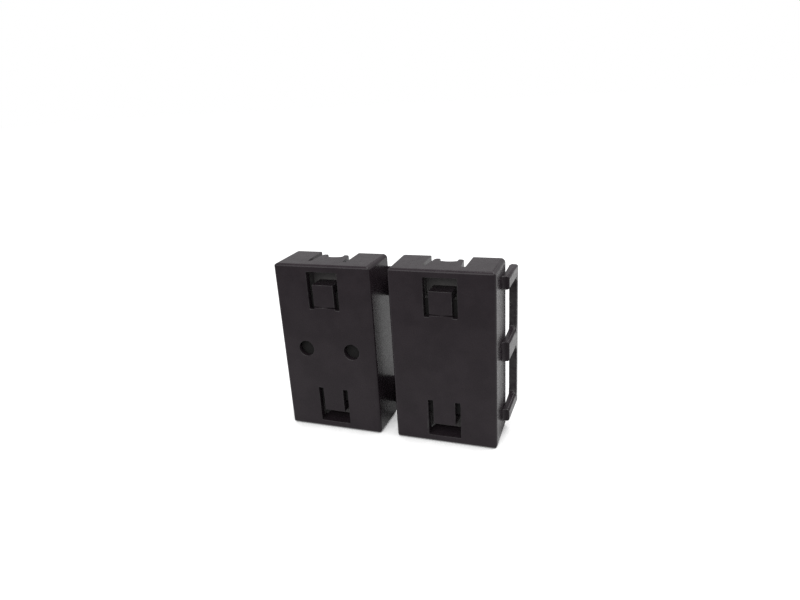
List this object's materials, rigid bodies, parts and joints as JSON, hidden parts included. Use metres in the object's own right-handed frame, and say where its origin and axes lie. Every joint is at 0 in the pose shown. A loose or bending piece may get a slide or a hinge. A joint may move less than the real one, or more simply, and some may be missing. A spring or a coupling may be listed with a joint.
{
  "type": "clip-on ferrite bead",
  "caption": "Hinged clip-on ferrite bead, opened flat: a moulded plastic case with a snap latch frame and catches, holding a split ferrite core that shuts round a cable.",
  "frame": {"origin": "centre of the open bead's bounding box, at the height of the end that it stands on", "axes": "+X from the catch half towards the latch half, across the open case; +Y from the outer faces towards the rims and the mating faces; +Z along the cable, up"},
  "size_m": [0.0428, 0.0132, 0.0326],
  "materials": {
    "case_plastic": "black moulded plastic, fine texture, low sheen",
    "ferrite": "dark grey sintered ferrite, ground mating faces"
  },
  "bodies": {
    "latch_half": {"latch_shell": "case_plastic", "latch_side_core": "ferrite"},
    "catch_half": {"catch_shell": "case_plastic", "catch_side_core": "ferrite"},
    "latch": {"latch_frame": "case_plastic"}
  },
  "joints": [
    {"name": "strap_hinge", "type": "hinge", "parent": "latch_half", "child": "catch_half", "pos_m": [-0.0003, 0.0022, 0.0163], "axis": [0, 0, -1], "range_deg": [0, 180]},
    {"name": "latch_flex", "type": "hinge", "parent": "latch_half", "child": "latch", "pos_m": [0.0199, -0.0018, 0.0163], "axis": [0, 0, -1], "range_deg": [0, 10], "stiffness_Nm_per_rad": 0.002}
  ]
}
